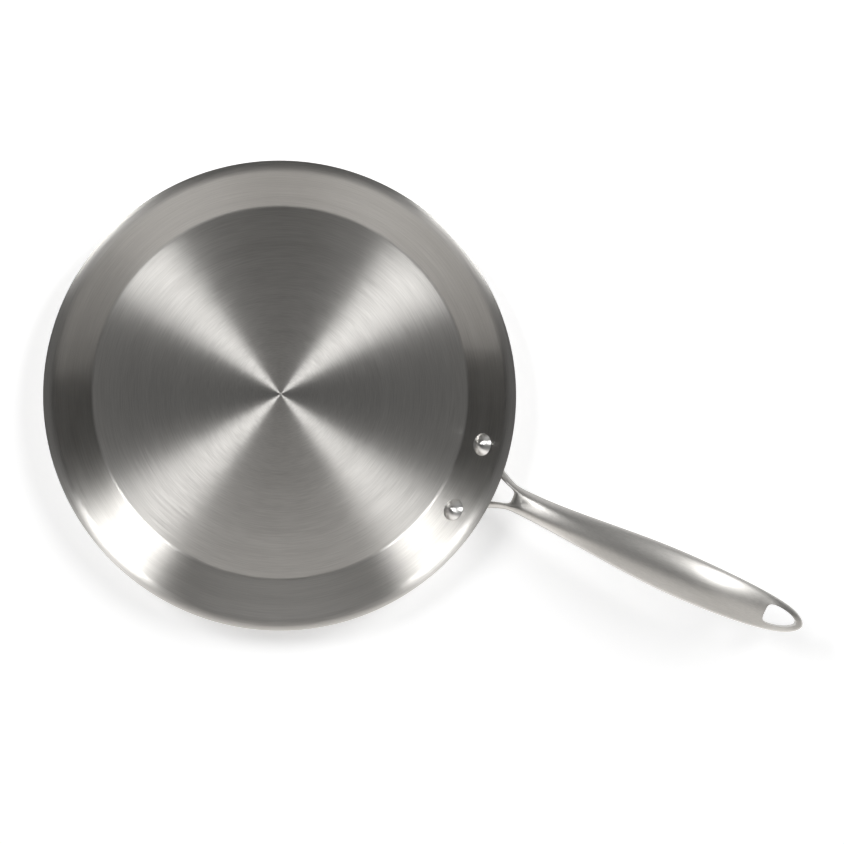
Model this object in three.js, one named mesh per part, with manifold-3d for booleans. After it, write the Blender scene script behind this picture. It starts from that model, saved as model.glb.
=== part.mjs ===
// Crepe pan: a shallow three-ply pan with a forked cast handle held by two rivets.
// Millimetres, +Z up. The origin is the centre of the underside of the base.
// +X runs along the handle, and the XZ plane is the plane of symmetry.

import * as THREE from "three";
import { mergeVertices } from "three/addons/utils/BufferGeometryUtils.js";
import Module from "manifold-3d";

const wasm = await Module();
wasm.setup();

const { degToRad, lerp, smoothstep } = THREE.MathUtils;

// Pan body: the rim is measured over the outside, the radii on the cooking surface.
const RIM_DIAMETER = 260;
const PAN_HEIGHT = 23;
const WALL_SLOPE = degToRad(45);
const CREASE_RADIUS = 3;
const LIP_RADIUS = 8;
const LIP_ROLL = degToRad(10);
const INNER_PLY = 0.5;
const CORE_PLY = 1.5;
const OUTER_PLY = 0.5;

// Rivets: the head is inside the pan, the tail is upset outside it.
const RIVET_SPACING = 40;
const RIVET_DROP = 9.8;
const HEAD_DIAMETER = 12.5;
const HEAD_HEIGHT = 3.5;
const SHANK_DIAMETER = 5;
const TAIL_DIAMETER = 9;
const TAIL_HEIGHT = 2.4;

// Fits: seats are left open by a hair, and the rivet shank is loose in its holes.
const SEAT_GAP = 0.3;
const HOLE_CLEARANCE = 0.3;

// Handle in plan: reaches are measured outwards from the rim.
const CROTCH_REACH = 11;
const NECK_REACH = 14;
const WIDEST_REACH = 108;
const TIP_REACH = 186.5;
const NECK_WIDTH = 14;
const GRIP_WIDTH = 25;
const TIP_FULLNESS = 2.7;

// Handle from the side: heights of its middle line are measured from the rim.
const CREST_REACH = 128;
const CREST_RISE = 23;
const CREST_BLEND = 16;
const RISE_SLOPE = 0.13;
const TIP_RISE = 13;
const NECK_BEND = 10;
const BEND_POWER = 5;
const NECK_DEPTH = 9;
const GRIP_DEPTH = 12.5;
const TIP_DEPTH = 6.5;
const SECTION_FULLNESS = 2.1;

// Fork: two prongs leave the neck, pass under the lip and end in pads on the wall.
const CROTCH_RADIUS = 4.6;
const NOSE_LENGTH = 11;
const PRONG_WIDTH = 3.6;
const PRONG_DEPTH = 7;
const PRONG_ROOT_REACH = 18.5;
const PRONG_ROOT_GAP = 5.2;
const PRONG_BEND_REACH = 3;
const PRONG_BEND_GAP = 16.7;
const PRONG_BEND_DROP = 8.5;
const PRONG_KNEE_LENGTH = 9;
const PAD_DIAMETER = 15;
const PAD_THICKNESS = 3.5;
const POCKET_DEPTH = 12;

// Hanging hole: a rounded triangle that leaves a slim ring of steel at the tip.
const RING_WIDTH = 3.8;
const HOLE_LENGTH = 22.1;
const HOLE_WIDTH = 10.9;
const HOLE_CORNER = 2.2;
const HOLE_SIDE_PULL = 8;
const HOLE_SIDE_FALL = 1;
const HOLE_END_WIDTH = 5.2;

// Facets
const TURN_SEGMENTS = 64;
const CREASE_STEPS = 3;
const LIP_STEPS = 5;
const RIVET_SEGMENTS = 20;
const DOME_STEPS = 5;
const SECTION_POINTS = 24;
const NOSE_STEPS = 4;
const GRIP_STEPS = 12;
const TIP_STEPS = 14;
const PRONG_POINTS = 12;
const PRONG_STEPS = 7;
const HOLE_STEPS = 6;

const rimRadius = RIM_DIAMETER / 2;
const plyTotal = INNER_PLY + CORE_PLY + OUTER_PLY;

// Section of the wall: crease and lip are arcs with fixed centres, so every ply follows them.
// The lip rolls out a little past level, so its crest is the top of the pan.
const lipCentre = new THREE.Vector2(
  rimRadius - LIP_RADIUS * Math.sin(LIP_ROLL),
  PAN_HEIGHT - LIP_RADIUS,
);
const lipStart = new THREE.Vector2(
  lipCentre.x - LIP_RADIUS * Math.sin(WALL_SLOPE),
  lipCentre.y + LIP_RADIUS * Math.cos(WALL_SLOPE),
);
const creaseEndHeight = plyTotal + CREASE_RADIUS * (1 - Math.cos(WALL_SLOPE));
const creaseEndRadius = lipStart.x - (lipStart.y - creaseEndHeight) / Math.tan(WALL_SLOPE);
const floorRadius = creaseEndRadius - CREASE_RADIUS * Math.sin(WALL_SLOPE);

// Rivets sit square to the wall, at a set distance below the rim.
const rivetHeight = PAN_HEIGHT - RIVET_DROP;
const rivetRadius = creaseEndRadius + (rivetHeight - creaseEndHeight) / Math.tan(WALL_SLOPE);
const rivetAzimuth = Math.asin(RIVET_SPACING / 2 / rivetRadius);
const padFace = plyTotal + SEAT_GAP + PAD_THICKNESS;
const holeDiameter = SHANK_DIAMETER + 2 * HOLE_CLEARANCE;

const crotchX = rimRadius + CROTCH_REACH;
const neckX = rimRadius + NECK_REACH;
const widestX = rimRadius + WIDEST_REACH;
const tipX = rimRadius + TIP_REACH;

const steel = { color: 0xb4b2ae, metalness: 1 };
const brushed = new THREE.MeshStandardMaterial({ ...steel, roughness: 0.32 });
const satin = new THREE.MeshStandardMaterial({ ...steel, roughness: 0.4 });
const polished = new THREE.MeshStandardMaterial({ color: 0xd0cfcc, metalness: 1, roughness: 0.12 });
const aluminium = new THREE.MeshStandardMaterial({ color: 0xc9cacc, metalness: 1, roughness: 0.45 });

// A closed geometry as a solid that can be joined and cut.
function solidOf(geometry) {
  const bare = geometry.clone();
  bare.deleteAttribute("normal");
  bare.deleteAttribute("uv");
  const welded = mergeVertices(bare);
  const vertProperties = new Float32Array(welded.attributes.position.array);
  const triVerts = new Uint32Array(welded.index.array);
  return new wasm.Manifold(new wasm.Mesh({ numProp: 3, vertProperties, triVerts }));
}

function geometryOf(solid) {
  const { vertProperties, triVerts } = solid.getMesh();
  const geometry = new THREE.BufferGeometry();
  geometry.setAttribute("position", new THREE.BufferAttribute(vertProperties, 3));
  geometry.setIndex(new THREE.BufferAttribute(triVerts, 1));
  geometry.computeVertexNormals();
  return geometry;
}

// A profile of (radius, height) points turned about the Z axis.
function turned(profile, segments) {
  return new THREE.LatheGeometry(profile, segments).rotateX(Math.PI / 2);
}

// A skin over rings of points, closed by a fan on the first and the last ring.
function lofted(rings) {
  const sides = rings[0].length;
  const positions = [];
  const index = [];
  for (const ring of rings) {
    for (const point of ring) positions.push(point.x, point.y, point.z);
  }
  for (let i = 0; i + 1 < rings.length; i++) {
    for (let j = 0; j < sides; j++) {
      const a = i * sides + j;
      const b = i * sides + ((j + 1) % sides);
      index.push(a, b, b + sides, a, b + sides, a + sides);
    }
  }
  const last = (rings.length - 1) * sides;
  for (let j = 1; j + 1 < sides; j++) {
    index.push(0, j + 1, j);
    index.push(last, last + j, last + j + 1);
  }
  const geometry = new THREE.BufferGeometry();
  geometry.setAttribute("position", new THREE.Float32BufferAttribute(positions, 3));
  geometry.setIndex(index);
  return geometry;
}

// A rounded oval ring about a centre, in the plane of the across and up directions.
function ovalRing(centre, across, up, halfWidth, halfDepth, count) {
  const power = 2 / SECTION_FULLNESS;
  const ring = [];
  for (let j = 0; j < count; j++) {
    const angle = (2 * Math.PI * j) / count;
    const c = Math.cos(angle);
    const s = Math.sin(angle);
    const y = halfWidth * Math.sign(c) * Math.abs(c) ** power;
    const z = halfDepth * Math.sign(s) * Math.abs(s) ** power;
    ring.push(centre.clone().addScaledVector(across, y).addScaledVector(up, z));
  }
  return ring;
}

// The surface that lies a depth below the cooking surface, from the axis out to the rim.
function surfaceProfile(depth) {
  const points = [new THREE.Vector2(0, plyTotal - depth)];
  for (let i = 0; i <= CREASE_STEPS; i++) {
    const slope = (WALL_SLOPE * i) / CREASE_STEPS;
    const radius = CREASE_RADIUS + depth;
    const r = floorRadius + radius * Math.sin(slope);
    points.push(new THREE.Vector2(r, plyTotal + CREASE_RADIUS - radius * Math.cos(slope)));
  }
  for (let i = 0; i <= LIP_STEPS; i++) {
    const slope = lerp(WALL_SLOPE, -LIP_ROLL, i / LIP_STEPS);
    const radius = LIP_RADIUS - depth;
    const r = lipCentre.x - radius * Math.sin(slope);
    points.push(new THREE.Vector2(r, lipCentre.y + radius * Math.cos(slope)));
  }
  return points;
}

// Rivet frames: local +Z is the wall's normal into the pan, and local zero is the cooking surface.
function rivetFrame(side) {
  const azimuth = side * rivetAzimuth;
  const outwards = new THREE.Vector3(Math.cos(azimuth), Math.sin(azimuth), 0);
  const normal = outwards.clone().multiplyScalar(-Math.sin(WALL_SLOPE));
  normal.z = Math.cos(WALL_SLOPE);
  const position = outwards.multiplyScalar(rivetRadius);
  position.z = rivetHeight;
  const turn = new THREE.Quaternion().setFromUnitVectors(new THREE.Vector3(0, 0, 1), normal);
  return new THREE.Matrix4().compose(position, turn, new THREE.Vector3(1, 1, 1));
}

// A round bar on a rivet's axis, between two heights of its frame.
function barOnRivet(side, diameter, low, high) {
  const bar = new THREE.CylinderGeometry(diameter / 2, diameter / 2, high - low, RIVET_SEGMENTS);
  bar.rotateX(Math.PI / 2);
  bar.translate(0, 0, (low + high) / 2);
  return solidOf(bar.applyMatrix4(rivetFrame(side)));
}

function rivetHole(side) {
  return barOnRivet(side, holeDiameter, -padFace - POCKET_DEPTH, HEAD_DIAMETER);
}

function ply(name, top, thickness, material) {
  const profile = [...surfaceProfile(top + thickness), ...surfaceProfile(top).reverse()];
  const sheet = solidOf(turned(profile, TURN_SEGMENTS));
  const drilled = sheet.subtract(rivetHole(1)).subtract(rivetHole(-1));
  const mesh = new THREE.Mesh(geometryOf(drilled), material);
  mesh.name = name;
  return mesh;
}

// A shallow dome: radius and height of its cap above a level, from its edge to the axis.
function domeArc(radius, height, level, sign) {
  const ball = (radius * radius + height * height) / (2 * height);
  const reach = Math.asin(Math.min(1, radius / ball));
  const sweep = height > radius ? Math.PI - reach : reach;
  const points = [];
  for (let i = 0; i < DOME_STEPS; i++) {
    const angle = sweep * (1 - i / DOME_STEPS);
    const rise = ball * Math.cos(angle) - (ball - height);
    points.push(new THREE.Vector2(ball * Math.sin(angle), level + sign * rise));
  }
  points.push(new THREE.Vector2(0, level + sign * height));
  return points;
}

function rivet(name, side) {
  const tail = domeArc(TAIL_DIAMETER / 2, TAIL_HEIGHT, -padFace - SEAT_GAP, -1).reverse();
  const head = domeArc(HEAD_DIAMETER / 2, HEAD_HEIGHT, SEAT_GAP, 1);
  const shank = [
    new THREE.Vector2(SHANK_DIAMETER / 2, -padFace - SEAT_GAP),
    new THREE.Vector2(SHANK_DIAMETER / 2, SEAT_GAP),
  ];
  const mesh = new THREE.Mesh(turned([...tail, ...shank, ...head], RIVET_SEGMENTS), polished);
  mesh.name = name;
  rivetFrame(side).decompose(mesh.position, mesh.quaternion, mesh.scale);
  return mesh;
}

// The handle's middle line bends up at the neck, rises straight, and rounds over its crest to the tip.
function spineHeight(x) {
  const crestX = rimRadius + CREST_REACH;
  const crestZ = PAN_HEIGHT + CREST_RISE;
  const reach = crestX - x;
  if (reach < 0) return crestZ - (CREST_RISE - TIP_RISE) * (reach / (tipX - crestX)) ** 2;
  const rise = RISE_SLOPE * (Math.hypot(reach, CREST_BLEND) - CREST_BLEND);
  return crestZ - rise - NECK_BEND * (reach / (crestX - neckX)) ** BEND_POWER;
}

// In plan the grip swells from the neck and closes in a blunt oval tip.
function halfWidth(x) {
  if (x < widestX) return lerp(NECK_WIDTH, GRIP_WIDTH, smoothstep(x, neckX, widestX)) / 2;
  const along = Math.min(1, (x - widestX) / (tipX - widestX));
  return ((1 - along ** 2) ** (1 / TIP_FULLNESS) * GRIP_WIDTH) / 2;
}

// From the side it thins towards both ends, and the very tip is round.
function halfDepth(x) {
  if (x < widestX) return lerp(NECK_DEPTH, GRIP_DEPTH, smoothstep(x, neckX, widestX)) / 2;
  const depth = lerp(GRIP_DEPTH, TIP_DEPTH, smoothstep(x, widestX, tipX)) / 2;
  const intoTip = Math.max(0, 1 - (tipX - x) / (TIP_DEPTH / 2));
  return depth * Math.sqrt(1 - intoTip ** 2);
}

function gripRing(x, depthShare) {
  const centre = new THREE.Vector3(x, 0, spineHeight(x));
  const across = new THREE.Vector3(0, 1, 0);
  const up = new THREE.Vector3(0, 0, 1);
  return ovalRing(centre, across, up, halfWidth(x), halfDepth(x) * depthShare, SECTION_POINTS);
}

// The grip starts in a rounded nose between the prongs and runs to the tip.
function grip() {
  const noseX = crotchX - CROTCH_RADIUS;
  const rings = [];
  for (let i = 1; i <= NOSE_STEPS; i++) {
    const angle = (Math.PI / 2) * (i / NOSE_STEPS);
    rings.push(gripRing(noseX + NOSE_LENGTH * (1 - Math.cos(angle)), Math.sin(angle)));
  }
  const shoulderX = noseX + NOSE_LENGTH;
  for (let i = 1; i <= GRIP_STEPS; i++) {
    rings.push(gripRing(lerp(shoulderX, widestX, i / GRIP_STEPS), 1));
  }
  for (let i = 1; i < TIP_STEPS; i++) {
    const angle = (Math.PI / 2) * (i / TIP_STEPS);
    rings.push(gripRing(lerp(widestX, tipX, Math.sin(angle)), 1));
  }
  return solidOf(lofted(rings));
}

// A prong runs straight out of the neck, then bends sideways to its rivet's pad.
function prong(side) {
  const root = new THREE.Vector3(rimRadius + PRONG_ROOT_REACH, (side * PRONG_ROOT_GAP) / 2, 0);
  root.z = spineHeight(root.x);
  const bend = new THREE.Vector3(rimRadius + PRONG_BEND_REACH, (side * PRONG_BEND_GAP) / 2, 0);
  bend.z = PAN_HEIGHT - PRONG_BEND_DROP;
  const run = bend.clone().sub(root).setLength(PRONG_KNEE_LENGTH);
  const knee = bend.clone().add(run);
  const end = new THREE.Vector3(0, 0, PAD_THICKNESS / 2 - padFace).applyMatrix4(rivetFrame(side));
  const path = new THREE.CurvePath();
  path.add(new THREE.LineCurve3(root, bend));
  path.add(new THREE.QuadraticBezierCurve3(bend, knee, end));
  const rings = [];
  for (const [i, curve] of path.curves.entries()) {
    for (let step = i; step <= PRONG_STEPS; step++) {
      const at = curve.getPoint(step / PRONG_STEPS);
      const along = curve.getTangent(step / PRONG_STEPS);
      const across = new THREE.Vector3(-along.y, along.x, 0).normalize();
      const up = new THREE.Vector3().crossVectors(along, across);
      rings.push(ovalRing(at, across, up, PRONG_WIDTH / 2, PRONG_DEPTH / 2, PRONG_POINTS));
    }
  }
  return solidOf(lofted(rings));
}

function pad(side) {
  return barOnRivet(side, PAD_DIAMETER, -padFace, 0);
}

// The space that the pan itself takes up, with the gap that its seats keep.
function panSpace() {
  const wall = surfaceProfile(plyTotal + SEAT_GAP);
  const top = PAN_HEIGHT + HEAD_HEIGHT;
  const rim = wall[wall.length - 1];
  const profile = [...wall, new THREE.Vector2(rim.x, top), new THREE.Vector2(0, top)];
  return solidOf(turned(profile, TURN_SEGMENTS));
}

// The hole is flat towards the pan and closes in a round end, with gently bowed sides.
function hangingHole() {
  const endX = tipX - RING_WIDTH;
  const startX = endX - HOLE_LENGTH;
  const sideX = startX + HOLE_CORNER;
  const sideY = HOLE_WIDTH / 2;
  const pullX = sideX + HOLE_SIDE_PULL;
  const pullY = sideY - HOLE_SIDE_FALL;
  const endY = HOLE_END_WIDTH / 2;
  const outline = new THREE.Shape();
  outline.moveTo(startX, HOLE_CORNER - sideY);
  outline.quadraticCurveTo(startX, -sideY, sideX, -sideY);
  outline.bezierCurveTo(pullX, -pullY, endX, -endY, endX, 0);
  outline.bezierCurveTo(endX, endY, pullX, pullY, sideX, sideY);
  outline.quadraticCurveTo(startX, sideY, startX, sideY - HOLE_CORNER);
  const depth = PAN_HEIGHT + CREST_RISE + GRIP_DEPTH;
  const options = { depth, bevelEnabled: false, curveSegments: HOLE_STEPS };
  return solidOf(new THREE.ExtrudeGeometry(outline, options));
}

function crotch() {
  const height = PAN_HEIGHT + CREST_RISE;
  const bar = new THREE.CylinderGeometry(CROTCH_RADIUS, CROTCH_RADIUS, height, RIVET_SEGMENTS);
  bar.rotateX(Math.PI / 2);
  bar.translate(crotchX - CROTCH_RADIUS, 0, height / 2);
  return solidOf(bar);
}

function handle() {
  let casting = grip();
  for (const side of [1, -1]) {
    casting = casting.add(prong(side)).add(pad(side));
  }
  casting = casting.subtract(panSpace()).subtract(crotch()).subtract(hangingHole());
  for (const side of [1, -1]) {
    const seat = barOnRivet(side, TAIL_DIAMETER + 2 * SEAT_GAP, -padFace - POCKET_DEPTH, -padFace);
    casting = casting.subtract(rivetHole(side)).subtract(seat);
  }
  const mesh = new THREE.Mesh(geometryOf(casting), satin);
  mesh.name = "handle";
  return mesh;
}

const crepePan = new THREE.Group();
crepePan.add(ply("inner_steel_ply", 0, INNER_PLY, brushed));
crepePan.add(ply("aluminium_core_ply", INNER_PLY, CORE_PLY, aluminium));
crepePan.add(ply("outer_steel_ply", INNER_PLY + CORE_PLY, OUTER_PLY, brushed));
crepePan.add(handle());
crepePan.add(rivet("rivet_right", 1));
crepePan.add(rivet("rivet_left", -1));

export default crepePan;
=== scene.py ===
# %% [markdown]
# # A crepe pan in brushed steel
# The pan is a shallow dish of three bonded sheets, with a forked cast handle on two rivets.
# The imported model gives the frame: metres, +Z up, the base on the floor and the handle along +X.
# Its solids are right in size but faceted, so every node gets a smooth piece modelled over it.

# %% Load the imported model
import math
from collections import namedtuple

import bmesh
import bpy
from mathutils import Matrix, Quaternion, Vector


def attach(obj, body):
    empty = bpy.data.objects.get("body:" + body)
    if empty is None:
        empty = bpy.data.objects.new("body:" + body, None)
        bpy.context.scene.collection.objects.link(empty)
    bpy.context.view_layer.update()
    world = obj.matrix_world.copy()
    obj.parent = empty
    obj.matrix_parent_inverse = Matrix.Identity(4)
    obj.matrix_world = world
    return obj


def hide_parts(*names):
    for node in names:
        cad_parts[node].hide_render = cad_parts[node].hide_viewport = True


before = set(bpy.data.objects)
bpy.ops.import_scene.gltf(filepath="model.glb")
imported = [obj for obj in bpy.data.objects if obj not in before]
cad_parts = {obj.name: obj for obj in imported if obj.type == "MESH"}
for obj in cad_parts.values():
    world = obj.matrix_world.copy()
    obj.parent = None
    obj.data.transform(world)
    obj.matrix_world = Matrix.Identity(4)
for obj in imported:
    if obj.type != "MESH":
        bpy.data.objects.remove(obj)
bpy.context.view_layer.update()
MM = 0.001

# %% [markdown]
# ## The camera
# The photograph looks into the pan almost along its axis, with a long lens.
# The picture is turned: the handle points right and about 24 degrees down.
# So places round the pan are given along picture-right and picture-up, both level with the rim.
# The lens follows from how much smaller the floor looks than the rim that is nearer to it.

# %% Camera
PICTURE_TURN = math.radians(23.85)
CAMERA_HEIGHT = 1524 * MM
CAMERA_RIGHT = 1.46 * MM
CAMERA_UP = 148.2 * MM
AIM_HEIGHT = 24 * MM
AIM_RIGHT = 77.81 * MM
AIM_UP = -13.71 * MM
LENS = 116.8

picture_right = Vector((math.cos(PICTURE_TURN), math.sin(PICTURE_TURN), 0))
picture_up = Vector((-math.sin(PICTURE_TURN), math.cos(PICTURE_TURN), 0))


def in_picture(right, up, height):
    """A point given along the picture's own directions and above the floor."""
    return picture_right * right + picture_up * up + Vector((0, 0, height))


camera_place = in_picture(CAMERA_RIGHT, CAMERA_UP, CAMERA_HEIGHT)
aim = in_picture(AIM_RIGHT, AIM_UP, AIM_HEIGHT)
look = (aim - camera_place).normalized()
side = look.cross(picture_up).normalized()
turn = Matrix((side, side.cross(look), -look)).transposed()
bpy.ops.object.select_all(action="DESELECT")
bpy.ops.object.camera_add(location=camera_place, rotation=turn.to_euler())
camera = bpy.context.object
camera.data.lens = LENS
bpy.context.scene.camera = camera
print("camera", round(math.degrees(look.angle(Vector((0, 0, -1)))), 1), "degrees off the axis")

# %% [markdown]
# ## The pan's section
# A pan like this is pressed from one bonded blank: steel inside, aluminium, steel outside.
# Each sheet is drawn as its own closed section and spun about the axis, as on a lathe.
# Crease and lip are arcs with fixed centres, so the three sheets follow each other exactly.
# The lip rolls out a little past level, which is why it mirrors the same lights as the floor.

# %% Section of the wall
RIM_RADIUS = 130 * MM
RIM_HEIGHT = 23 * MM
WALL_SLOPE = math.radians(45)
CREASE_RADIUS = 3 * MM
LIP_RADIUS = 8 * MM
LIP_ROLL = math.radians(10)
INNER_PLY = 0.5 * MM
CORE_PLY = 1.5 * MM
OUTER_PLY = 0.5 * MM
CREASE_STEPS = 8
WALL_STEPS = 5
LIP_STEPS = 14

ply_total = INNER_PLY + CORE_PLY + OUTER_PLY
lip_r = RIM_RADIUS - LIP_RADIUS * math.sin(LIP_ROLL)
lip_z = RIM_HEIGHT - LIP_RADIUS
lip_start_r = lip_r - LIP_RADIUS * math.sin(WALL_SLOPE)
lip_start_z = lip_z + LIP_RADIUS * math.cos(WALL_SLOPE)
crease_end_z = ply_total + CREASE_RADIUS * (1 - math.cos(WALL_SLOPE))
crease_end_r = lip_start_r - (lip_start_z - crease_end_z) / math.tan(WALL_SLOPE)
floor_radius = crease_end_r - CREASE_RADIUS * math.sin(WALL_SLOPE)


def sheet_line(depth):
    """Points (radius, height) of the surface that lies a depth below the cooking surface."""
    line = [(0, ply_total - depth)]
    for step in range(CREASE_STEPS + 1):
        slope = WALL_SLOPE * step / CREASE_STEPS
        reach = CREASE_RADIUS + depth
        r = floor_radius + reach * math.sin(slope)
        line.append((r, ply_total + CREASE_RADIUS - reach * math.cos(slope)))
    lip = []
    for step in range(LIP_STEPS + 1):
        slope = WALL_SLOPE - (WALL_SLOPE + LIP_ROLL) * step / LIP_STEPS
        reach = LIP_RADIUS - depth
        lip.append((lip_r - reach * math.sin(slope), lip_z + reach * math.cos(slope)))
    low, high = Vector(line[-1]), Vector(lip[0])
    line += [tuple(low.lerp(high, step / WALL_STEPS)) for step in range(1, WALL_STEPS)]
    return line + lip


print("cooking floor", round(2 * floor_radius / MM, 1), "mm across")

# %% [markdown]
# ## Spinning a section
# One vertex is extruded from point to point, which draws the section.
# Spin then sweeps it round the axis, and merging doubles closes the seam and the pole.
# Spinning can leave faces inside out, so the normals are made consistent afterwards.

# %% Spin helper
SPIN_STEPS = 256
MERGE = 0.001 * MM
SHARP = math.radians(35)


def make_active(piece):
    """Select one piece alone, so that operators act on it."""
    bpy.ops.object.select_all(action="DESELECT")
    piece.select_set(True)
    bpy.context.view_layer.objects.active = piece


def start_piece(name):
    """The new primitive becomes a piece with its place in its mesh, in edit mode."""
    piece = bpy.context.object
    piece.name = name
    piece.data.name = name
    bpy.ops.object.transform_apply(location=True, rotation=True, scale=True)
    bpy.ops.object.mode_set(mode="EDIT")
    return piece


def spin_section(name, line, steps):
    """A closed solid of revolution about Z from a line of (radius, height) points."""
    bpy.ops.object.select_all(action="DESELECT")
    bpy.ops.mesh.primitive_plane_add(size=MM, location=(line[0][0], 0, line[0][1]))
    piece = start_piece(name)
    bpy.ops.mesh.merge(type="CENTER")
    for (r, z), (next_r, next_z) in zip(line, line[1:]):
        step = {"value": (next_r - r, 0, next_z - z)}
        bpy.ops.mesh.extrude_region_move(TRANSFORM_OT_translate=step)
    bpy.ops.mesh.select_all(action="SELECT")
    bpy.ops.mesh.spin(steps=steps, angle=2 * math.pi, center=(0, 0, 0), axis=(0, 0, 1))
    bpy.ops.mesh.select_all(action="SELECT")
    bpy.ops.mesh.remove_doubles(threshold=MERGE)
    bpy.ops.mesh.normals_make_consistent(inside=False)
    bpy.ops.object.mode_set(mode="OBJECT")
    bpy.ops.object.shade_smooth_by_angle(angle=SHARP)
    return piece


# %% [markdown]
# ## Three bonded sheets
# The cut edge of the rim shows the layers as fine lines, dark where two sheets meet.
# A bevel of a tenth of a millimetre on every sharp edge gives those lines, and a glint on the rim.

# %% Three bonded sheets
EDGE_BREAK = 0.1 * MM


def apply_modifier(piece, kind, **settings):
    """Add a modifier to a piece, set it, and apply it."""
    make_active(piece)
    bpy.ops.object.modifier_add(type=kind)
    modifier = piece.modifiers[-1]
    for name, value in settings.items():
        setattr(modifier, name, value)
    bpy.ops.object.modifier_apply(modifier=modifier.name)


def ply(name, top, thickness):
    """One sheet of the pan, spun from its section, with its cut edges broken."""
    line = sheet_line(top + thickness) + sheet_line(top)[::-1]
    piece = spin_section(name, line, SPIN_STEPS)
    apply_modifier(
        piece, "BEVEL", width=EDGE_BREAK, segments=2, limit_method="ANGLE", angle_limit=SHARP
    )
    return piece


inner_sheet = ply("inner_sheet", 0, INNER_PLY)
core_sheet = ply("core_sheet", INNER_PLY, CORE_PLY)
outer_sheet = ply("outer_sheet", INNER_PLY + CORE_PLY, OUTER_PLY)
for sheet in (inner_sheet, core_sheet, outer_sheet):
    print(sheet.name, len(sheet.data.polygons), "faces")

# %% [markdown]
# ## The rivets
# Each rivet is a turned pin: a polished domed head inside the pan, a shank, and a low tail outside.
# It is modelled once, upright, and then placed square to the wall on each side.

# %% Rivets
RIVET_SPACING = 40 * MM
RIVET_DROP = 9.8 * MM
HEAD_DIAMETER = 12.5 * MM
HEAD_HEIGHT = 3.5 * MM
SHANK_DIAMETER = 5 * MM
TAIL_DIAMETER = 9 * MM
TAIL_HEIGHT = 2.4 * MM
PAD_THICKNESS = 3.5 * MM
SEAT_GAP = 0.3 * MM
DOME_STEPS = 12
RIVET_STEPS = 48

rivet_z = RIM_HEIGHT - RIVET_DROP
rivet_r = crease_end_r + (rivet_z - crease_end_z) / math.tan(WALL_SLOPE)
rivet_azimuth = math.asin(RIVET_SPACING / 2 / rivet_r)
rivet_turn = Matrix.Rotation(rivet_azimuth, 3, "Z")
rivet_place = rivet_turn @ Vector((rivet_r, 0, rivet_z))
rivet_axis = rivet_turn @ Vector((-math.sin(WALL_SLOPE), 0, math.cos(WALL_SLOPE)))
pad_face = ply_total + SEAT_GAP + PAD_THICKNESS


def dome(radius, height, level, way):
    """Points of a shallow dome from its edge to the axis; way is 1 upwards and -1 downwards."""
    ball = (radius ** 2 + height ** 2) / (2 * height)
    sweep = math.asin(radius / ball)
    points = []
    for step in range(DOME_STEPS + 1):
        angle = sweep * (1 - step / DOME_STEPS)
        rise = height - ball * (1 - math.cos(angle))
        points.append((ball * math.sin(angle), level + way * rise))
    return points


def on_rivet(piece, way):
    """Put an upright piece on a rivet's axis, with its zero on the cooking surface."""
    azimuth = way * rivet_azimuth
    piece.rotation_euler = (0, -WALL_SLOPE, azimuth)
    piece.location = (rivet_r * math.cos(azimuth), rivet_r * math.sin(azimuth), rivet_z)
    make_active(piece)
    bpy.ops.object.transform_apply(location=True, rotation=True, scale=True)


tail_line = dome(TAIL_DIAMETER / 2, TAIL_HEIGHT, -pad_face - SEAT_GAP, -1)[::-1]
shank_line = [(SHANK_DIAMETER / 2, -pad_face - SEAT_GAP), (SHANK_DIAMETER / 2, SEAT_GAP)]
head_line = dome(HEAD_DIAMETER / 2, HEAD_HEIGHT, SEAT_GAP, 1)
right_rivet = spin_section("right_rivet", tail_line + shank_line + head_line, RIVET_STEPS)
bpy.ops.object.duplicate()
left_rivet = bpy.context.object
left_rivet.name = left_rivet.data.name = "left_rivet"
on_rivet(right_rivet, 1)
on_rivet(left_rivet, -1)
print("rivets at", round(rivet_r / MM, 1), "mm from the axis,", len(left_rivet.data.polygons), "faces")

# %% [markdown]
# ## The handle's grip
# The handle is one casting. Its grip is an oval bar that arches up and down again.
# It is fuller below than above, and its top is nearly flat towards the neck.
# A ring of twelve points is enough as a cage, because subdivision will round it.
# It starts at the crest as a circle. Some of its points are moved in pairs to give it its section,
# and then the ring is extruded to both ends, scaled and moved at each stop.

# %% Sizes along the grip
NECK_X = 144 * MM
CREST_X = 258 * MM
WIDEST_X = 238 * MM
TIP_X = 316.5 * MM
CREST_Z, TIP_Z = 46 * MM, 36 * MM
RISE_SLOPE = 0.13
CREST_BLEND = 16 * MM
NECK_BEND = 10 * MM
BEND_POWER = 5
NECK_WIDTH, GRIP_WIDTH = 14 * MM, 25 * MM
NECK_DEPTH, GRIP_DEPTH, TIP_DEPTH = 9 * MM, 12.5 * MM, 6.5 * MM
TIP_FULLNESS = 2.7
RING_POINTS = 12
FORK_X = 140.4 * MM
HOLE_X = 290.6 * MM

# Stops of the ring on its way to the neck and to the tip, in millimetres.
TO_NECK = [248, 237, 222, 205, 188, 172, 160, 150, FORK_X / MM]
TO_TIP = [266, 273.5, 280.5, 286, HOLE_X / MM]

# Places on the ring as shares of its half width and half depth, for points at 30 and 60 degrees.
ROUND_NEAR, ROUND_FAR = 0.5, math.sqrt(0.75)
CROWN_Y, CROWN_TOP, CROWN_BELOW = 0.46, 0.82, 0.93
FLANK_Y, FLANK_TOP, FLANK_BELOW = 0.86, 0.4, 0.58

# How much the crown's points spread and lift at the last stops, which flattens the top of the neck.
FLAT_NECK = {172: (1.1, 1.09), 160: (1.24, 1.15), 150: (1.26, 1.18)}

# Subdivision pulls the ring in to these shares, so the cage is drawn larger.
DEPTH_SHRINK = 0.985
width_shrink = (2 + FLANK_Y) / 3


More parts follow.
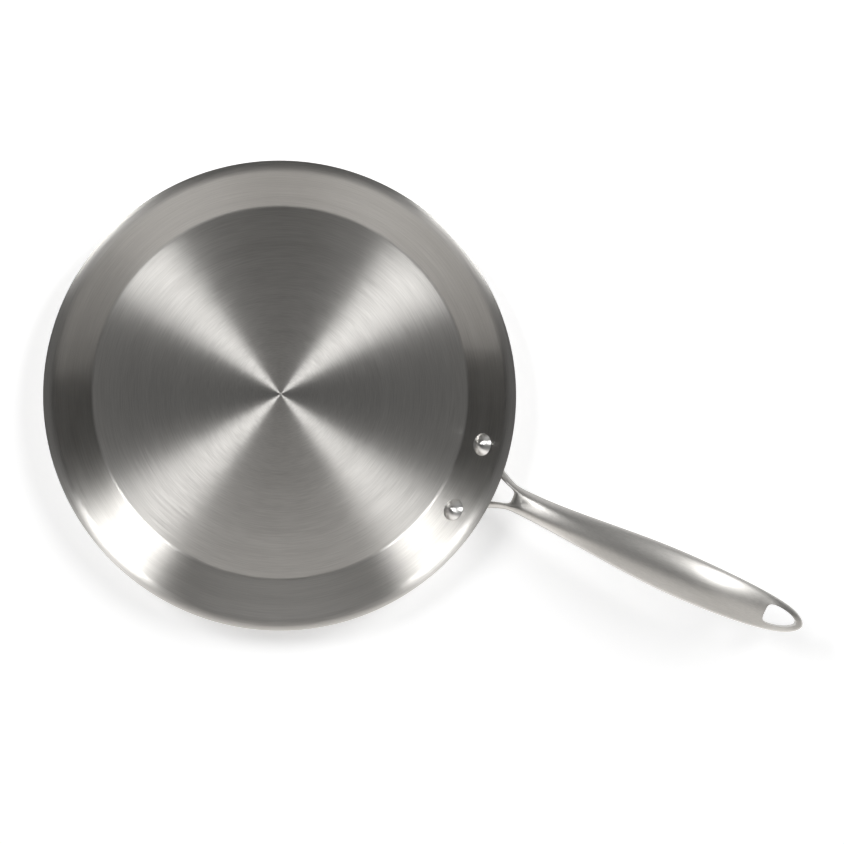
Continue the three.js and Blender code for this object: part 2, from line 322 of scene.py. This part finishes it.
def ease(x, start, end):
    """A smooth step from 0 to 1 between two places."""
    share = min(1, max(0, (x - start) / (end - start)))
    return share * share * (3 - 2 * share)


def spine_z(x):
    """Height of the grip's middle line: a bend at the neck, a straight rise and a round crest."""
    reach = CREST_X - x
    if reach < 0:
        return CREST_Z - (CREST_Z - TIP_Z) * (reach / (TIP_X - CREST_X)) ** 2
    rise = RISE_SLOPE * (math.hypot(reach, CREST_BLEND) - CREST_BLEND)
    return CREST_Z - rise - NECK_BEND * (reach / (CREST_X - NECK_X)) ** BEND_POWER


def half_width(x):
    """Half the grip's width at a place; past its widest it closes to a blunt tip."""
    if x < WIDEST_X:
        return (NECK_WIDTH + (GRIP_WIDTH - NECK_WIDTH) * ease(x, NECK_X, WIDEST_X)) / 2
    share = (x - WIDEST_X) / (TIP_X - WIDEST_X)
    return (1 - share ** 2) ** (1 / TIP_FULLNESS) * GRIP_WIDTH / 2


def half_depth(x):
    """Half the grip's depth at a place."""
    if x < WIDEST_X:
        return (NECK_DEPTH + (GRIP_DEPTH - NECK_DEPTH) * ease(x, NECK_X, WIDEST_X)) / 2
    return (GRIP_DEPTH + (TIP_DEPTH - GRIP_DEPTH) * ease(x, WIDEST_X, TIP_X)) / 2


print("grip", round(2 * half_width(WIDEST_X) / MM, 1), "mm wide, crest", CREST_Z / MM, "mm up")

# %% Picking and extruding
SELECT_MODES = {"verts": "VERT", "edges": "EDGE", "faces": "FACE"}


def middle_of(part):
    """The place of a vertex, or the middle of an edge or a face."""
    corners = [part] if isinstance(part, bmesh.types.BMVert) else part.verts
    return sum((v.co for v in corners), Vector()) / len(corners)


def pick(kind, test):
    """In edit mode, select the vertices, edges or faces whose middle passes a test."""
    mesh = bmesh.from_edit_mesh(bpy.context.edit_object.data)
    bpy.ops.mesh.select_mode(type=SELECT_MODES[kind])
    bpy.ops.mesh.select_all(action="DESELECT")
    for part in getattr(mesh, kind):
        if test(middle_of(part)):
            part.select_set(True)
    mesh.select_flush_mode()
    bmesh.update_edit_mesh(bpy.context.edit_object.data)


def extrude_ring(x, next_x):
    """Extrude the selected ring of the grip to its next stop, and give it its size there."""
    rise = spine_z(next_x) - spine_z(x)
    bpy.ops.mesh.extrude_region_move(TRANSFORM_OT_translate={"value": (next_x - x, 0, rise)})
    size = (1, half_width(next_x) / half_width(x), half_depth(next_x) / half_depth(x))
    bpy.ops.transform.resize(value=size, center_override=(next_x, 0, spine_z(next_x)))


# %% Grip cage
POINT_REACH = 0.01

bpy.ops.object.select_all(action="DESELECT")
bpy.ops.mesh.primitive_circle_add(
    vertices=RING_POINTS, radius=1, location=(CREST_X, 0, CREST_Z), rotation=(0, math.pi / 2, 0)
)
handle = bpy.context.object
half_y = half_width(CREST_X) / width_shrink
half_z = half_depth(CREST_X) / DEPTH_SHRINK
handle.scale = (half_z, half_y, 1)
start_piece("cast_handle")


def shape_ring(was_y, was_z, share_y, share_z, upper):
    """Move the two points of the crest's ring at a place to their new share of its size."""
    way = 1 if upper else -1

    def at_place(p):
        share = (abs(p.y) / half_y, way * (p.z - CREST_Z) / half_z)
        return math.dist(share, (was_y, was_z)) < POINT_REACH

    pick("verts", at_place)
    size = (1, share_y / was_y, share_z / was_z)
    bpy.ops.transform.resize(value=size, center_override=(CREST_X, 0, CREST_Z))


shape_ring(ROUND_NEAR, ROUND_FAR, CROWN_Y, CROWN_TOP, True)
shape_ring(ROUND_NEAR, ROUND_FAR, CROWN_Y, CROWN_BELOW, False)
shape_ring(ROUND_FAR, ROUND_NEAR, FLANK_Y, FLANK_TOP, True)
shape_ring(ROUND_FAR, ROUND_NEAR, FLANK_Y, FLANK_BELOW, False)
for stops in (TO_NECK, TO_TIP):
    pick("verts", lambda p: abs(p.x - CREST_X) < MERGE)
    x = CREST_X
    for stop in stops:
        extrude_ring(x, stop * MM)
        x = stop * MM
for stop, (spread, lift) in FLAT_NECK.items():
    x = stop * MM
    crown_z = spine_z(x) + CROWN_TOP * half_depth(x) / DEPTH_SHRINK
    pick("verts", lambda p: abs(p.x - x) < MERGE and abs(p.z - crown_z) < MERGE)
    bpy.ops.transform.resize(value=(1, spread, lift), center_override=(x, 0, spine_z(x)))
print("grip cage", len(bmesh.from_edit_mesh(handle.data).faces), "faces")

# %% [markdown]
# ## The fork and the ring
# Both ends of the grip split in two. Only one half is modelled, and a mirror makes the other.
# At each end the middle of the tube is closed, which gives the fork's crotch and the hole's flat side.
# The outer part of the end is a face of its own, and it is extruded along a path:
# down to a pad on the pan's wall, or round the hanging hole to the middle of the tip.

# %% Half of the cage
INNER_SHARE = 0.5

bpy.ops.mesh.select_all(action="SELECT")
bpy.ops.mesh.bisect(plane_co=(0, 0, 0), plane_no=(0, 1, 0), clear_inner=True, threshold=MERGE)


def end_sizes(end_x):
    """Half width and half depth of the cage at an end, and where its inner part ends."""
    outer = half_width(end_x) / width_shrink
    return outer, half_depth(end_x) / DEPTH_SHRINK, outer * INNER_SHARE


def upright(middle, end_x):
    """Whether an edge's middle is near the spine, as it is for the upright edges of an end."""
    return abs(middle.z - spine_z(end_x)) < half_depth(end_x) / 2


for end_x in (FORK_X, HOLE_X):
    outer, _, inner_y = end_sizes(end_x)
    pick("verts", lambda p: abs(p.x - end_x) < MERGE and abs(p.y - outer * CROWN_Y) < MERGE)
    bpy.ops.transform.resize(value=(1, INNER_SHARE / CROWN_Y, 1), center_override=(end_x, 0, 0))
    pick("verts", lambda p: abs(p.x - end_x) < MERGE and p.y < inner_y + MERGE)
    bpy.ops.mesh.edge_face_add()
    pick("verts", lambda p: abs(p.x - end_x) < MERGE and p.y > inner_y - MERGE)
    bpy.ops.mesh.edge_face_add()
    pick("edges", lambda p: abs(p.x - end_x) < MERGE and upright(p, end_x) and p.y < inner_y + MERGE)
    bpy.ops.mesh.subdivide(number_cuts=1)
print("half cage", len(bmesh.from_edit_mesh(handle.data).faces), "faces")

# %% Extruding along a path
Stop = namedtuple("Stop", "centre along up width depth")


def frame_of(stop):
    """Axes of a section as columns: across, up, and along the path."""
    along = Vector(stop.along).normalized()
    across = Vector(stop.up).cross(along).normalized()
    return Matrix((across, along.cross(across), along)).transposed()


def extrude_along(stops):
    """Extrude the selected face from stop to stop: move it, turn it, then size it there."""
    for here, there in zip(stops, stops[1:]):
        centre = Vector(there.centre) * MM
        move = centre - Vector(here.centre) * MM
        bpy.ops.mesh.extrude_region_move(TRANSFORM_OT_translate={"value": move})
        turn = (frame_of(there) @ frame_of(here).transposed()).to_euler("XYZ")
        for axis, angle in zip("XYZ", turn):
            bpy.ops.transform.rotate(value=-angle, orient_axis=axis, center_override=centre)
        size = (there.width / here.width, there.depth / here.depth, 1)
        bpy.ops.transform.resize(
            value=size,
            orient_type="GLOBAL",
            orient_matrix=frame_of(there),
            orient_matrix_type="GLOBAL",
            center_override=centre,
        )


def face_stop(end_x, along):
    """The stop that the outer end face of the grip already has, in millimetres."""
    outer, deep, inner = end_sizes(end_x)
    middle_z = spine_z(end_x) + (CROWN_TOP - CROWN_BELOW) / 2 * deep
    depth = (CROWN_TOP + CROWN_BELOW) * deep
    centre = (end_x / MM, (outer + inner) / 2 / MM, middle_z / MM)
    return Stop(centre, along, (0, 0, 1), (outer - inner) / MM, depth / MM)


def pick_end(end_x):
    """Select the outer end face of the grip, which carries on as a prong or as the ring."""
    inner_y = end_sizes(end_x)[2]
    pick("faces", lambda p: abs(p.x - end_x) < MERGE and p.y > inner_y)


print("a stop has", ", ".join(Stop._fields))

# %% Prong and pad
# The stops run from the fork under the lip to the far end of the pad, in millimetres.
PRONG_WAY = (-0.794, 0.295, -0.533)
PRONG_UP = (-0.4, 0, 1)
PAD_WAY = (-0.417, 0.872, -0.258)

pad_centre = (rivet_place + rivet_axis * (PAD_THICKNESS / 2 - pad_face)) / MM
pad_way = Vector(PAD_WAY)
pad_up = tuple(rivet_axis)
prong_stops = [
    face_stop(FORK_X, (-1, 0, 0)),
    Stop((136.5, 7.0, 17.3), PRONG_WAY, PRONG_UP, 3.9, 8.2),
    Stop((131.5, 9.0, 13.9), PRONG_WAY, PRONG_UP, 4.1, 8.2),
    Stop((126.6, 11.6, 11.2), (-0.75, 0.6, -0.28), (-0.55, -0.05, 0.8), 5.8, 7.2),
    Stop(pad_centre - pad_way * 5.2, PAD_WAY, pad_up, 12.5, 5.6),
    Stop(pad_centre + pad_way * 0.5, PAD_WAY, pad_up, 18.5, 5.0),
    Stop(pad_centre + pad_way * 6.0, PAD_WAY, pad_up, 12.0, 4.6),
]
pick_end(FORK_X)
extrude_along(prong_stops)
print("prong", len(prong_stops), "stops")

# %% Saddle between the prongs
SADDLE_STEP = (-0.8 * MM, 0, -1.8 * MM)

crotch_top = spine_z(FORK_X) + end_sizes(FORK_X)[1]
pick("verts", lambda p: math.dist(p, (FORK_X, 0, crotch_top)) < MERGE)
bpy.ops.transform.translate(value=SADDLE_STEP)
print("saddle lowered by", -SADDLE_STEP[2] / MM, "mm")

# %% Ring round the hanging hole
# The stops run round half of the hole to the middle of the tip, in millimetres.
HOLE_CREASE = 0.7
EDGE_REACH = 0.6 * MM
RING_SINK = 0.35 * MM


def ring_stop(x, y, along, width, depth):
    """A stop of the ring, a little below the spine there, so that it carries on from the grip."""
    return Stop((x, y, (spine_z(x * MM) - RING_SINK) / MM), (*along, 0), (0, 0, 1), width, depth)


ring_stops = [
    face_stop(HOLE_X, (1, 0, 0)),
    ring_stop(297, 7.65, (1, -0.2), 3.7, 6.9),
    ring_stop(304, 6.35, (1, -0.34), 3.6, 6.8),
    ring_stop(309.6, 4.4, (1, -0.75), 3.8, 6.7),
    ring_stop(313.2, 1.7, (0.4, -1), 4.6, 6.6),
    ring_stop(313.75, 0, (0, -1), 5.1, 6.6),
]
pick_end(HOLE_X)
extrude_along(ring_stops)
bpy.ops.mesh.delete(type="ONLY_FACE")
inner_line = [Vector((HOLE_X, 0, 0))]
for stop in ring_stops:
    inner_line.append((Vector(stop.centre) - frame_of(stop).col[0] * stop.width / 2) * MM)
middles = [(a.xy + b.xy) / 2 for a, b in zip(inner_line, inner_line[1:])]


def on_hole_edge(middle):
    """Whether an edge's middle lies on the upper or lower edge of the hanging hole."""
    near = any((middle.xy - place).length < EDGE_REACH for place in middles)
    return near and not upright(middle, middle.x)


pick("edges", on_hole_edge)
bpy.ops.transform.edge_crease(value=HOLE_CREASE)
print("ring", len(ring_stops), "stops")

# %% Mirror and round the casting
SUBDIVISIONS = 3
MIRROR_MERGE = 0.01 * MM

bpy.ops.mesh.select_all(action="SELECT")
bpy.ops.mesh.normals_make_consistent(inside=False)
bpy.ops.object.mode_set(mode="OBJECT")
apply_modifier(
    handle,
    "MIRROR",
    use_axis=(False, True, False),
    use_clip=True,
    use_mirror_merge=True,
    merge_threshold=MIRROR_MERGE,
)
apply_modifier(handle, "SUBSURF", levels=SUBDIVISIONS, render_levels=SUBDIVISIONS)
bpy.ops.object.shade_smooth_by_angle(angle=SHARP)
print("handle", len(handle.data.polygons), "faces")

# %% [markdown]
# ## Holes and seats
# The casting's pads are ground to the curve of the wall, and every layer is drilled for the rivets.
# Cutting with solid shapes is the direct way: a spun shape for the space that the pan takes up,
# and a stepped drill whose wide part also faces a flat seat for the rivet's tail.
# A hair's width stays open at each seat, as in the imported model.

# %% Cut the pads and drill the layers
HOLE_CLEARANCE = 0.3 * MM
DRILL_LENGTH = 8 * MM

seat_line = sheet_line(ply_total + SEAT_GAP)
seat_line += [(seat_line[-1][0], 2 * RIM_HEIGHT), (0, 2 * RIM_HEIGHT)]
hole_radius = SHANK_DIAMETER / 2 + HOLE_CLEARANCE
seat_radius = TAIL_DIAMETER / 2 + SEAT_GAP
drill_line = [
    (0, -pad_face - DRILL_LENGTH),
    (seat_radius, -pad_face - DRILL_LENGTH),
    (seat_radius, -pad_face),
    (hole_radius, -pad_face),
    (hole_radius, DRILL_LENGTH),
    (0, DRILL_LENGTH),
]
pan_space = spin_section("pan_space", seat_line, SPIN_STEPS)
right_drill = spin_section("right_drill", drill_line, RIVET_STEPS)
bpy.ops.object.duplicate()
left_drill = bpy.context.object
on_rivet(right_drill, 1)
on_rivet(left_drill, -1)
for piece, cutters in (
    (handle, (pan_space, right_drill, left_drill)),
    (inner_sheet, (right_drill, left_drill)),
    (core_sheet, (right_drill, left_drill)),
    (outer_sheet, (right_drill, left_drill)),
):
    for cutter in cutters:
        apply_modifier(piece, "BOOLEAN", operation="DIFFERENCE", solver="EXACT", object=cutter)
    bpy.ops.object.shade_smooth_by_angle(angle=SHARP)
    print(piece.name, "cut,", len(piece.data.polygons), "faces")
for cutter in (pan_space, right_drill, left_drill):
    bpy.data.meshes.remove(cutter.data)

# %% [markdown]
# ## Finishes
# Colours are written as sRGB hex values, as a paint chart gives them, and turned to linear here.
# One function adds a node: it sets its options, fills its sockets and links what is another node's.
# The others add the few kinds of node that every finish needs, and return what they give.

# %% Node helper
def to_linear(colour):
    """An sRGB hex colour as the linear colour that Blender's sockets take."""
    levels = [int(colour[i:i + 2], 16) / 255 for i in (1, 3, 5)]
    return [c / 12.92 if c <= 0.04045 else ((c + 0.055) / 1.055) ** 2.4 for c in levels] + [1]


def add_node(tree, kind, sockets=None, **options):
    """Add a node, set its options, and fill or link its input sockets by name or number."""
    node = tree.nodes.new(kind)
    for name, value in options.items():
        setattr(node, name, value)
    for name, value in (sockets or {}).items():
        if isinstance(value, bpy.types.NodeSocket):
            tree.links.new(value, node.inputs[name])
        else:
            node.inputs[name].default_value = value
    return node


def new_material(name):
    """An empty node material, and its tree."""
    material = bpy.data.materials.new(name)
    material.use_nodes = True
    material.node_tree.nodes.clear()
    return material, material.node_tree


print("mid grey", [round(c, 3) for c in to_linear("#808080")])

# %% Nodes that every finish needs
def math_node(tree, operation, *values):
    """An operation on one, two or three numbers."""
    return add_node(tree, "ShaderNodeMath", dict(enumerate(values)), operation=operation).outputs[0]


def vector_math(tree, operation, *values):
    """An operation on one, two or three vectors; a length or a dot product is a number."""
    node = add_node(tree, "ShaderNodeVectorMath", dict(enumerate(values)), operation=operation)
    return node.outputs["Value" if operation in ("LENGTH", "DOT_PRODUCT") else "Vector"]


def noise(tree, place, scale, detail):
    """Noise at a place, as a number from 0 to 1."""
    sockets = {"Vector": place, "Scale": scale, "Detail": detail}
    return add_node(tree, "ShaderNodeTexNoise", sockets).outputs[0]


def blend(tree, share, first, second):
    """A number between two others."""
    return add_node(tree, "ShaderNodeMix", {0: share, 2: first, 3: second}).outputs[0]


def tone(tree, share, dark, light):
    """A colour between two sRGB tones."""
    sockets = {0: share, 6: to_linear(dark), 7: to_linear(light)}
    return add_node(tree, "ShaderNodeMix", sockets, data_type="RGBA").outputs[2]


def remap(tree, value, old, new, **options):
    """A number carried from an old range to a new one, and held at its ends."""
    ends = {"From Min": old[0], "From Max": old[1], "To Min": new[0], "To Max": new[1]}
    return add_node(tree, "ShaderNodeMapRange", {"Value": value, **ends}, **options).outputs[0]


def bump(tree, height, strength, depth):
    """The normal of a surface with fine marks of a depth."""
    sockets = {"Height": height, "Strength": strength, "Distance": depth}
    return add_node(tree, "ShaderNodeBump", sockets).outputs[0]


def metal_surface(tree, sockets):
    """Make bare metal with these sockets the surface of the material."""
    metal = add_node(tree, "ShaderNodeBsdfPrincipled", {"Metallic": 1, **sockets})
    add_node(tree, "ShaderNodeOutputMaterial", {"Surface": metal.outputs[0]})
    print("metal of", len(tree.nodes), "nodes")


# %% [markdown]
# ## Circular brushed steel
# The pan is stainless steel that was brushed with an abrasive belt while it turned.
# Its grooves run round the axis, so the steel is rough across them and smooth along them.
# That is anisotropy with a tangent round Z, and it spreads each lamp into a fan from the centre.
# The belt's grit leaves short arcs that differ a little in tone and in roughness.
# A noise gives them that is stretched round the axis: far apart round it, close together outwards.
# The wall climbs at 45 degrees, so some of the height is added to the radius to keep the arcs even.

# %% Pattern of arcs round the axis
HEIGHT_SHARE = math.sqrt(2) - 1


def arcs(tree, width, per_radian, detail):
    """Noise in arcs round the Z axis, a width apart, with so many changes in a radian."""
    place = add_node(tree, "ShaderNodeTexCoord").outputs["Object"]
    flat = vector_math(tree, "MULTIPLY", place, (1, 1, 0))
    radius = vector_math(tree, "LENGTH", flat)
    around = vector_math(tree, "NORMALIZE", flat)
    height = add_node(tree, "ShaderNodeSeparateXYZ", {0: place}).outputs["Z"]
    along = math_node(tree, "MULTIPLY_ADD", height, HEIGHT_SHARE, radius)
    count = math_node(tree, "DIVIDE", along, width)
    rings = add_node(tree, "ShaderNodeCombineXYZ", {"Z": count}).outputs[0]
    where = vector_math(tree, "MULTIPLY_ADD", around, (per_radian, per_radian, 0), rings)
    return noise(tree, where, 1, detail)


# %% Circular brushed stainless steel
# Bright warm grey, with fans of light, fine arcs, and a few broad rings where the belt dwelt.
STREAK_WIDTH = 0.5 * MM
STREAK_CHANGES = 6
STREAK_DEPTH = 0.0025 * MM
STREAK_RANGE = 0.25, 0.75
RING_WIDTH = 7 * MM
RING_CHANGES = 0.3
RING_SHARE = 0.3
QUARTER_TURN = 0.25


def brushed_steel(name, dark, light, smooth, rough):
    """Stainless steel with circular grooves, between two tones and two roughnesses."""
    material, tree = new_material(name)
    streaks = arcs(tree, STREAK_WIDTH, STREAK_CHANGES, 2)
    rings = arcs(tree, RING_WIDTH, RING_CHANGES, 1)
    metal_surface(tree, {
        "Base Color": tone(tree, blend(tree, RING_SHARE, streaks, rings), dark, light),
        "Roughness": remap(tree, streaks, STREAK_RANGE, (smooth, rough)),
        "Anisotropic": 1,
        "Anisotropic Rotation": QUARTER_TURN,
        "Tangent": add_node(tree, "ShaderNodeTangent", direction_type="RADIAL", axis="Z").outputs[0],
        "Normal": bump(tree, streaks, 1, STREAK_DEPTH),
    })
    return material


inside_steel = brushed_steel("circular_brushed_steel_inside", "#B0AEAB", "#E0DEDA", 0.29, 0.39)
outside_steel = brushed_steel("circular_brushed_steel_outside", "#AEACA9", "#DCDAD7", 0.33, 0.42)

# %% [markdown]
# ## Sheared aluminium
# The core shows only in the edge of the rim, where the blank was cut and then deburred.
# Aluminium is a cooler white than steel, and the cut leaves fine lines along the edge.
# They are real scratches of about a tenth of a millimetre, drawn three times as wide to show.

# %% Sheared aluminium
SHEAR_LINE = 0.3 * MM
SHEAR_CHANGES = 40
SHEAR_DEPTH = 0.02 * MM
SHEAR_STRENGTH = 0.6
SHEAR_ROUGHNESS = 0.32, 0.52

core_metal, tree = new_material("sheared_aluminium")
lines = arcs(tree, SHEAR_LINE, SHEAR_CHANGES, 2)
metal_surface(tree, {
    "Base Color": tone(tree, lines, "#BFC1C4", "#E6E8EB"),
    "Roughness": remap(tree, lines, (0, 1), SHEAR_ROUGHNESS),
    "Normal": bump(tree, lines, SHEAR_STRENGTH, SHEAR_DEPTH),
})

# %% [markdown]
# ## Satin cast steel
# The handle is cast in stainless steel and satin finished.
# Fine strokes run along its length, over a faint grain.
# Strokes and grain are two noises on Object coordinates, one of them stretched along X.
# Both go into tone, roughness and bump, so highlights keep a soft, slightly broken edge.
# Strokes along the handle smear a highlight across it, which is anisotropy with a tangent round X.

# %% Satin cast stainless steel
STROKE_LENGTH = 9 * MM
STROKE_WIDTH = 0.5 * MM
GRAIN = 0.35 * MM
GRAIN_SHARE = 0.4
SATIN_RANGE = 0.3, 0.7
SATIN_ROUGHNESS = 0.37, 0.41
SATIN_SMEAR = 0.4
SATIN_STRENGTH = 0.5
SATIN_DEPTH = 0.009 * MM

satin, tree = new_material("satin_cast_steel")
place = add_node(tree, "ShaderNodeTexCoord").outputs["Object"]
scale = (1 / STROKE_LENGTH, 1 / STROKE_WIDTH, 1 / STROKE_WIDTH)
stretched = add_node(tree, "ShaderNodeMapping", {"Vector": place, "Scale": scale}).outputs[0]
strokes = noise(tree, stretched, 1, 2)
marks = blend(tree, GRAIN_SHARE, strokes, noise(tree, place, 1 / GRAIN, 1))
metal_surface(tree, {
    "Base Color": tone(tree, marks, "#A19F9C", "#C8C6C2"),
    "Roughness": remap(tree, marks, SATIN_RANGE, SATIN_ROUGHNESS),
    "Anisotropic": SATIN_SMEAR,
    "Tangent": add_node(tree, "ShaderNodeTangent", direction_type="RADIAL", axis="X").outputs[0],
    "Normal": bump(tree, marks, SATIN_STRENGTH, SATIN_DEPTH),
})

# %% [markdown]
# ## Turned and polished steel
# The rivets' heads were turned and then polished, and the last marks of that still run round each axis.
# So a head shows fans of light as the pan's floor does, only smaller and brighter.
# The heads lean, so the tangent is worked out here: the axis crossed with the way to the point.
# Both rivets share it. Taking every coordinate as positive puts the left one on the right one,
# and the signs of the coordinates turn the result back.
# Handling leaves soft smudges a few millimetres across, which only change the roughness a little.

# %% Turned and polished stainless steel
SMUDGE = 2.5 * MM
SMUDGE_RANGE = 0.3, 0.7
TURNED_ROUGHNESS = 0.3, 0.36
TURNED_SMEAR = 0.8

polished, tree = new_material("turned_stainless_steel")
place = add_node(tree, "ShaderNodeTexCoord").outputs["Object"]
smudges = noise(tree, place, 1 / SMUDGE, 3)
right_half = vector_math(tree, "ABSOLUTE", place)
signs = vector_math(tree, "SIGN", place)
outwards = vector_math(tree, "SUBTRACT", right_half, tuple(rivet_place))
around = vector_math(tree, "CROSS_PRODUCT", tuple(rivet_axis), outwards)
metal_surface(tree, {
    "Base Color": tone(tree, smudges, "#D6D5D3", "#E6E5E3"),
    "Roughness": remap(tree, smudges, SMUDGE_RANGE, TURNED_ROUGHNESS),
    "Anisotropic": TURNED_SMEAR,
    "Anisotropic Rotation": QUARTER_TURN,
    "Tangent": vector_math(tree, "MULTIPLY", around, signs),
})

# %% Finishes on the pieces
for piece, material in (
    (inner_sheet, inside_steel),
    (core_sheet, core_metal),
    (outer_sheet, outside_steel),
    (handle, satin),
    (right_rivet, polished),
    (left_rivet, polished),
):
    piece.data.materials.clear()
    piece.data.materials.append(material)
    print(piece.name, "in", material.name)

# %% [markdown]
# ## The floor
# The photograph has a white ground that keeps only a soft shadow.
# A white floor under plain light is a light grey in the picture, so for the camera it glows a little.
# The glow is added to the lit paint, so the shadow stays, and mirrors see the same white ground.

# %% Floor
FLOOR_SIZE = 24
FLOOR_DROP = 0.2 * MM
FLOOR_GLOW = 0.44

bpy.ops.object.select_all(action="DESELECT")
bpy.ops.mesh.primitive_plane_add(size=FLOOR_SIZE, location=(0, 0, -FLOOR_DROP))
floor = bpy.context.object
floor.name = "floor"
ground, tree = new_material("white_floor_paint")
paint = add_node(tree, "ShaderNodeBsdfDiffuse", {"Color": to_linear("#F4F4F4")})
ray = add_node(tree, "ShaderNodeLightPath")
mirrored = math_node(tree, "MAXIMUM", ray.outputs["Is Glossy Ray"], ray.outputs["Is Transmission Ray"])
seen = math_node(tree, "MAXIMUM", ray.outputs["Is Camera Ray"], mirrored)
strength = math_node(tree, "MULTIPLY", seen, FLOOR_GLOW)
glow = add_node(tree, "ShaderNodeEmission", {"Strength": strength})
both = add_node(tree, "ShaderNodeAddShader", {0: paint.outputs[0], 1: glow.outputs[0]})
add_node(tree, "ShaderNodeOutputMaterial", {"Surface": both.outputs[0]})
floor.data.materials.append(ground)
print("floor", FLOOR_SIZE, "m across")

# %% [markdown]
# ## The softboxes
# Four fans of light cross the pan's floor, and they come from only two softboxes.
# Each makes a fan towards itself and one opposite, because the grooves are circles.
# They stand to the right and the left of the picture's top.
# They are ovals that lean: their low ends lie nearer to the picture's top than their high ends.
# The wall mirrors the low ends and the floor the high ones, so the fans are wider on the wall.
# The camera doesn't see lamps, it only sees them mirrored in steel.

# %% Softboxes
LAMP_DISTANCE = 2.6


def area_lamp(name, shape, place, turn, width, length, power):
    """An area lamp that shows only in mirrors."""
    bpy.ops.object.light_add(type="AREA", location=place, rotation=turn)
    lamp = bpy.context.object
    lamp.name = name
    lamp.data.shape = shape
    lamp.data.size = width
    lamp.data.size_y = length
    lamp.data.energy = power
    lamp.visible_camera = False
    print(name, round(power, 2), "W")
    return lamp


def softbox(name, picture_angle, off_axis, roll, width, length, radiance):
    """An oval soft lamp aimed at the pan's middle; its length points to the zenith, less the roll."""
    angle = math.radians(picture_angle)
    across = math.sin(math.radians(off_axis)) * LAMP_DISTANCE
    height = math.cos(math.radians(off_axis)) * LAMP_DISTANCE
    place = in_picture(across * math.cos(angle), across * math.sin(angle), height)
    turn = place.to_track_quat("Z", "Y") @ Quaternion((0, 0, 1), math.radians(roll))
    power = radiance * math.pi * math.pi * width * length / 4
    area_lamp(name, "ELLIPSE", place, turn.to_euler(), width, length, power)


softbox("right_softbox", picture_angle=36.5, off_axis=46, roll=17, width=0.9, length=1.6, radiance=9.4)
softbox("left_softbox", picture_angle=141, off_axis=43, roll=-26, width=0.76, length=1.2, radiance=11.6)

# %% [markdown]
# ## The table
# The lower part of the pan is lighter and warmer, since it mirrors the bright table in front of it.
# Two low strips of light stand for that table, and the one before the pan is the brighter.
# Light linking keeps them off the floor, which would otherwise lose its shadow there.

# %% Table strips
BOUNCE_DROP = 0.14
BOUNCE_REACH = 0.15
BOUNCE_COLOUR = "#FFFCF9"

lit_by_table = bpy.data.collections.new("lit_by_table")
for piece in (inner_sheet, core_sheet, outer_sheet, handle, right_rivet, left_rivet):
    lit_by_table.objects.link(piece)


def table_bounce(name, start, end, radiance):
    """A strip of bright table in front of the pan, from start to end along the picture."""
    place = in_picture((start + end) / 2, -BOUNCE_DROP, BOUNCE_REACH / 2)
    turn = Matrix((picture_right, Vector((0, 0, 1)), -picture_up)).transposed()
    power = radiance * math.pi * (end - start) * BOUNCE_REACH
    lamp = area_lamp(name, "RECTANGLE", place, turn.to_euler(), end - start, BOUNCE_REACH, power)
    lamp.data.color = to_linear(BOUNCE_COLOUR)[:3]
    lamp.light_linking.receiver_collection = lit_by_table


table_bounce("table_before_pan", start=-0.4, end=0.12, radiance=1.25)
table_bounce("table_before_handle", start=0.12, end=0.6, radiance=0.76)

# %% [markdown]
# ## The room
# Between the lamps, steel shows the room itself.
# It is dim overhead and a little lighter beside that, nearly black at both sides, dark towards
# the picture's top, and light again low down there, where a pale wall stands.
# The world gives that with two directions of the picture, each turned into smooth ramps.

# %% World
ZENITH_LEVEL = 0.12
CEILING_LEVEL = 0.33
DUSK_LEVEL = 0.07
WALL_LEVEL = 0.62
SIDE_SHARE = 0.01
CEILING_ASIDE = 0.08, 0.3
DUSK_UP = 0.3, 0.6
WALL_UP = 0.76, 0.98
SIDES_ASIDE = 0.4, 0.62

world = bpy.data.worlds.new("studio")
bpy.context.scene.world = world
world.use_nodes = True
tree = world.node_tree
tree.nodes.clear()
way = add_node(tree, "ShaderNodeTexCoord").outputs["Generated"]
up = vector_math(tree, "DOT_PRODUCT", way, tuple(picture_up))
right = vector_math(tree, "DOT_PRODUCT", way, tuple(picture_right))
aside = math_node(tree, "ABSOLUTE", right)
smooth = {"interpolation_type": "SMOOTHSTEP"}
ceiling = remap(tree, aside, CEILING_ASIDE, (ZENITH_LEVEL, CEILING_LEVEL), **smooth)
dusk = remap(tree, up, DUSK_UP, (ceiling, DUSK_LEVEL), **smooth)
room = remap(tree, up, WALL_UP, (dusk, WALL_LEVEL), **smooth)
sides = remap(tree, aside, SIDES_ASIDE, (1, SIDE_SHARE), **smooth)
level = math_node(tree, "MULTIPLY", room, sides)
studio = add_node(tree, "ShaderNodeBackground", {"Color": (1, 1, 1, 1), "Strength": level})
add_node(tree, "ShaderNodeOutputWorld", {"Surface": studio.outputs[0]})
bpy.context.scene.view_settings.view_transform = "Standard"
print("world", len(tree.nodes), "nodes")

# %% [markdown]
# ## Pieces on the body
# Each piece rides on the model's one body and takes the place of its CAD node, which is hidden; each
# row also names a finish.

# %% Pieces, nodes and finishes
for piece, node, slot in (
    (inner_sheet, "inner_steel_ply", "brushed_steel_inside"),
    (core_sheet, "aluminium_core_ply", "aluminium_core"),
    (outer_sheet, "outer_steel_ply", "brushed_steel_outside"),
    (handle, "handle", "satin_steel_handle"),
    (right_rivet, "rivet_right", "polished_steel_rivet"),
    (left_rivet, "rivet_left", "polished_steel_rivet"),
):
    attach(piece, "root")
    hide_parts(node)
